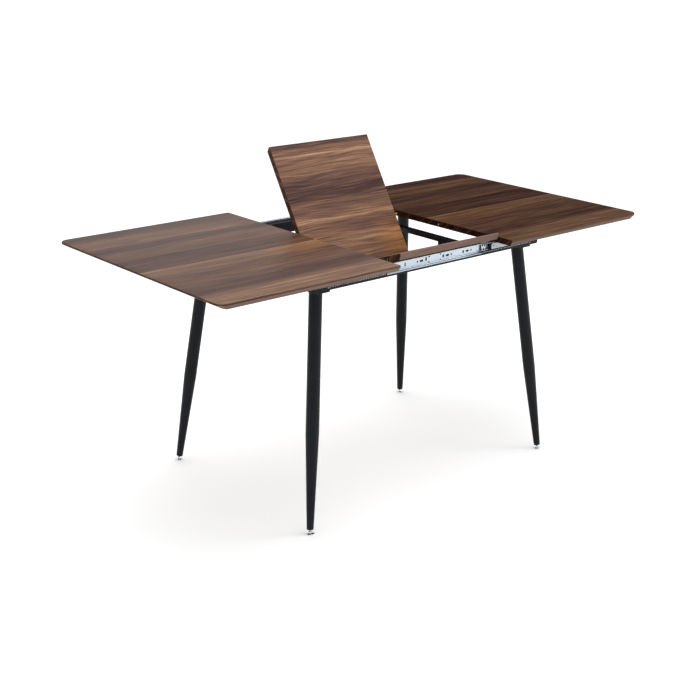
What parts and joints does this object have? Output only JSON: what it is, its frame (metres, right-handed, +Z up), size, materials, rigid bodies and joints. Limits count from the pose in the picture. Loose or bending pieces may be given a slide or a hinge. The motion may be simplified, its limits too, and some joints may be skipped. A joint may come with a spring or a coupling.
{
  "type": "extendable dining table",
  "caption": "Extendable dining table with two sliding walnut-look tops, a folding leaf between them, ball slides on black steel rails and splayed tapered legs.",
  "frame": {"origin": "on the floor, under the middle of the opened table", "axes": "+X along the table towards the right top, +Y across it towards the far rail, +Z up"},
  "size_m": [1.637, 0.8, 0.9825],
  "materials": {
    "walnut_foil": "satin walnut foil on board, straight grain along the table",
    "black_steel": "satin black powder coat",
    "zinc_steel": "bright zinc plate",
    "chrome": "polished",
    "brass": "satin",
    "black_plastic": "matte moulded"
  },
  "bodies": {
    "frame": {"near_side_rail": "black_steel", "far_side_rail": "black_steel", "left_crossbar": "black_steel", "right_crossbar": "black_steel", "left_crossbar_block": "black_plastic", "right_crossbar_block": "black_plastic", "near_left_rail_cap": "black_plastic", "near_right_rail_cap": "black_plastic", "far_left_rail_cap": "black_plastic", "far_right_rail_cap": "black_plastic", "near_left_leg_plate": "black_steel", "near_right_leg_plate": "black_steel", "far_left_leg_plate": "black_steel", "far_right_leg_plate": "black_steel", "near_left_leg": "black_steel", "near_right_leg": "black_steel", "far_left_leg": "black_steel", "far_right_leg": "black_steel", "near_left_leg_insert": "black_plastic", "near_right_leg_insert": "black_plastic", "far_left_leg_insert": "black_plastic", "far_right_leg_insert": "black_plastic", "near_slide_channel": "zinc_steel", "far_slide_channel": "zinc_steel", "leaf_guide_left": "black_steel", "leaf_guide_right": "black_steel"},
    "left_top": {"left_top": "walnut_foil", "left_pin_1": "brass", "left_pin_2": "brass", "left_pin_3": "brass", "left_pin_4": "brass", "left_near_slide_member": "zinc_steel", "left_far_slide_member": "zinc_steel", "left_near_top_bracket": "black_steel", "left_far_top_bracket": "black_steel"},
    "right_top": {"right_top": "walnut_foil", "right_pin_1": "brass", "right_pin_2": "brass", "right_near_slide_member": "zinc_steel", "right_far_slide_member": "zinc_steel", "right_near_top_bracket": "black_steel", "right_far_top_bracket": "black_steel"},
    "left_cages": {"left_near_ball_cage": "zinc_steel", "left_far_ball_cage": "zinc_steel"},
    "right_cages": {"right_near_ball_cage": "zinc_steel", "right_far_ball_cage": "zinc_steel"},
    "leaf_near": {"leaf_near_half": "walnut_foil", "leaf_arm_left": "black_steel", "leaf_arm_right": "black_steel", "leaf_near_hinge_left": "brass", "leaf_near_hinge_right": "brass"},
    "leaf_far": {"leaf_far_half": "walnut_foil", "leaf_far_hinge_left": "brass", "leaf_far_hinge_right": "brass"},
    "near_left_foot": {"near_left_glide": "chrome"},
    "near_right_foot": {"near_right_glide": "chrome"},
    "far_left_foot": {"far_left_glide": "chrome"},
    "far_right_foot": {"far_right_glide": "chrome"}
  },
  "joints": [
    {"name": "left_top_slide", "type": "slide", "parent": "frame", "child": "left_top", "axis": [1, 0, 0], "range_m": [0, 0.027]},
    {"name": "right_top_slide", "type": "slide", "parent": "frame", "child": "right_top", "axis": [-1, 0, 0], "range_m": [0, 0.027]},
    {"name": "left_cage_slide", "type": "slide", "parent": "frame", "child": "left_cages", "axis": [1, 0, 0], "range_m": [0, 0.0135]},
    {"name": "right_cage_slide", "type": "slide", "parent": "frame", "child": "right_cages", "axis": [-1, 0, 0], "range_m": [0, 0.0135]},
    {"name": "leaf_pivot", "type": "hinge", "parent": "frame", "child": "leaf_near", "pos_m": [0, -0.3206, 0.6696], "axis": [1, 0, 0], "range_deg": [0, 19.4]},
    {"name": "leaf_fold", "type": "hinge", "parent": "leaf_near", "child": "leaf_far", "pos_m": [0, 0.0095, 0.64177], "axis": [1, 0, 0], "range_deg": [-78, 0]},
    {"name": "near_left_foot_screw", "type": "slide", "parent": "frame", "child": "near_left_foot", "axis": [-0.1098, -0.1055, -0.9883], "range_m": [0, 0.01]},
    {"name": "near_right_foot_screw", "type": "slide", "parent": "frame", "child": "near_right_foot", "axis": [0.1098, -0.1055, -0.9883], "range_m": [0, 0.01]},
    {"name": "far_left_foot_screw", "type": "slide", "parent": "frame", "child": "far_left_foot", "axis": [-0.1098, 0.1055, -0.9883], "range_m": [0, 0.01]},
    {"name": "far_right_foot_screw", "type": "slide", "parent": "frame", "child": "far_right_foot", "axis": [0.1098, 0.1055, -0.9883], "range_m": [0, 0.01]}
  ],
  "couplings": [
    {"joint": "left_cage_slide", "follows": "left_top_slide", "ratio": 0.5},
    {"joint": "right_cage_slide", "follows": "right_top_slide", "ratio": 0.5},
    {"joint": "leaf_fold", "follows": "leaf_pivot", "ratio": -4.0206}
  ]
}
